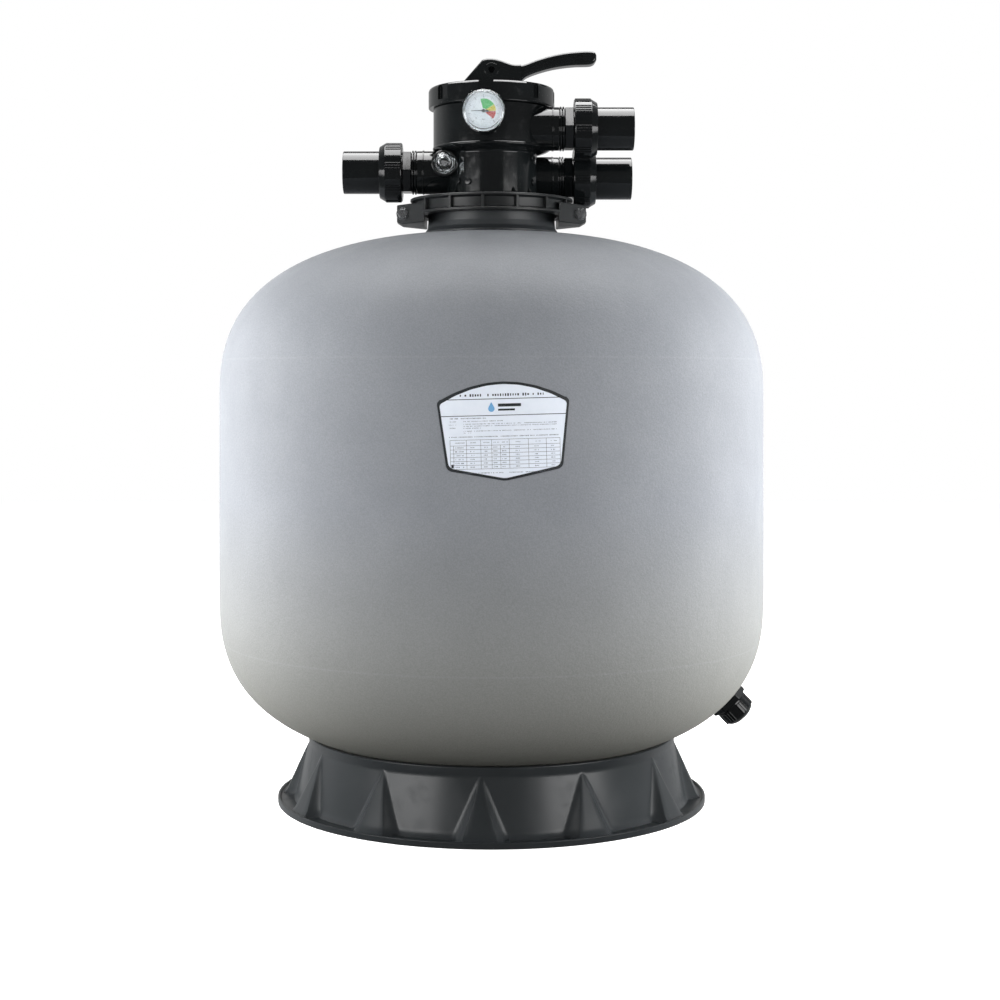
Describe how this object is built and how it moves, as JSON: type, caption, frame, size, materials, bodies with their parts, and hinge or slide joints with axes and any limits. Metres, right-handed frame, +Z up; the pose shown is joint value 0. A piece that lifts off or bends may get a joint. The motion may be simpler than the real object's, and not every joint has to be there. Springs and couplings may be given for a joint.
{
  "type": "sand filter tank",
  "caption": "Round moulded sand filter tank on a wedge-ribbed stand, with a top-mounted multiport valve, pressure gauge, pipe unions and sand drain.",
  "frame": {"origin": "on the floor under the centre of the tank, at the middle of the stand's foot", "axes": "+Z up along the tank's axis, -Y to the front with the label and gauge, +X towards the supply and return unions and the drain"},
  "size_m": [0.71, 0.71, 0.9808],
  "materials": {
    "tank_plastic": "rotationally moulded grey polyethylene with a fine pebbled skin",
    "stand_plastic": "moulded dark grey polypropylene, semi-gloss",
    "valve_plastic": "injection moulded black ABS, glossy",
    "bolt_steel": "stainless steel, satin",
    "seal_rubber": "moulded black EPDM",
    "inner_plastic": "moulded off-white plastic",
    "clear_plastic": "clear moulded polycarbonate",
    "dial_print": "printed white dial with green, yellow and red sectors",
    "label_print": "printed pale blue label with a black border"
  },
  "bodies": {
    "root": {"tank_shell": "tank_plastic", "rating_label": "label_print", "stand_skirt": "stand_plastic", "neck_collar": "stand_plastic", "neck_o_ring": "seal_rubber", "clamp_half_front": "valve_plastic", "clamp_half_rear": "valve_plastic", "clamp_bolt_left": "bolt_steel", "clamp_bolt_right": "bolt_steel", "clamp_nut_left": "bolt_steel", "clamp_nut_right": "bolt_steel", "valve_body": "valve_plastic", "valve_lid": "valve_plastic", "lid_o_ring": "seal_rubber", "spider_gasket": "seal_rubber", "gauge_case": "valve_plastic", "gauge_dial": "dial_print", "gauge_lens": "clear_plastic", "sight_glass": "clear_plastic", "sight_glass_o_ring": "seal_rubber", "drain_spigot": "valve_plastic", "drain_gasket": "seal_rubber", "drain_lock_nut": "valve_plastic", "drain_strainer": "inner_plastic", "standpipe": "inner_plastic", "lateral_hub": "inner_plastic", "top_diffuser": "inner_plastic", "waste_union_adapter": "valve_plastic", "waste_union_o_ring": "seal_rubber", "waste_union_tail": "valve_plastic", "pump_union_adapter": "valve_plastic", "pump_union_o_ring": "seal_rubber", "pump_union_tail": "valve_plastic", "return_union_adapter": "valve_plastic", "return_union_o_ring": "seal_rubber", "return_union_tail": "valve_plastic", "lateral_1": "inner_plastic", "lateral_2": "inner_plastic", "lateral_3": "inner_plastic", "lateral_4": "inner_plastic", "lateral_5": "inner_plastic", "lateral_6": "inner_plastic", "lateral_7": "inner_plastic", "lateral_8": "inner_plastic"},
    "selector": {"handle_washer": "inner_plastic", "thrust_washer": "bolt_steel", "rotor_spring": "bolt_steel"},
    "stem": {"rotor": "inner_plastic", "stem_o_ring": "seal_rubber", "handle_pin": "bolt_steel"},
    "handle": {"handle": "valve_plastic"},
    "needle": {"gauge_needle": "valve_plastic"},
    "drain_washer": {"drain_cap_washer": "seal_rubber"},
    "drain_cap": {"drain_cap": "valve_plastic"},
    "waste_nut": {"waste_union_nut": "valve_plastic"},
    "pump_nut": {"pump_union_nut": "valve_plastic"},
    "return_nut": {"return_union_nut": "valve_plastic"}
  },
  "joints": [
    {"name": "selector_turn", "type": "hinge", "parent": "root", "child": "selector", "pos_m": [0, 0, 0.93213], "axis": [0, 0, 1], "continuous": true},
    {"name": "stem_lift", "type": "slide", "parent": "selector", "child": "stem", "axis": [0, 0, 1], "range_m": [0, 0.0064], "stiffness_N_per_m": 4000, "springref_m": -0.008, "deforming": ["rotor_spring"]},
    {"name": "handle_press", "type": "hinge", "parent": "stem", "child": "handle", "pos_m": [0, 0, 0.95483], "axis": [0, 1, 0], "range_deg": [0, 14]},
    {"name": "gauge_needle_turn", "type": "hinge", "parent": "root", "child": "needle", "pos_m": [-0.01, -0.1, 0.88883], "axis": [0, 1, 0], "range_deg": [0, 230], "stiffness_Nm_per_rad": 0.0005},
    {"name": "waste_nut_turn", "type": "hinge", "parent": "root", "child": "waste_nut", "pos_m": [-0.133, 0, 0.82183], "axis": [-1, 0, 0], "continuous": true},
    {"name": "pump_nut_turn", "type": "hinge", "parent": "root", "child": "pump_nut", "pos_m": [0.123, -0.03, 0.87533], "axis": [1, 0, 0], "continuous": true},
    {"name": "return_nut_turn", "type": "hinge", "parent": "root", "child": "return_nut", "pos_m": [0.124, 0.025, 0.81683], "axis": [1, 0, 0], "continuous": true},
    {"name": "drain_cap_travel", "type": "slide", "parent": "root", "child": "drain_washer", "axis": [0.6865, 0, -0.7271], "range_m": [0, 0.0121]},
    {"name": "drain_cap_turn", "type": "hinge", "parent": "drain_washer", "child": "drain_cap", "pos_m": [0.31973, 0, 0.11723], "axis": [0.6865, 0, -0.7271], "range_deg": [0, 1080]}
  ],
  "couplings": [
    {"joint": "stem_lift", "follows": "handle_press", "m_per_rad": 0.025},
    {"joint": "drain_cap_travel", "follows": "drain_cap_turn", "m_per_rad": 0.00063662}
  ]
}
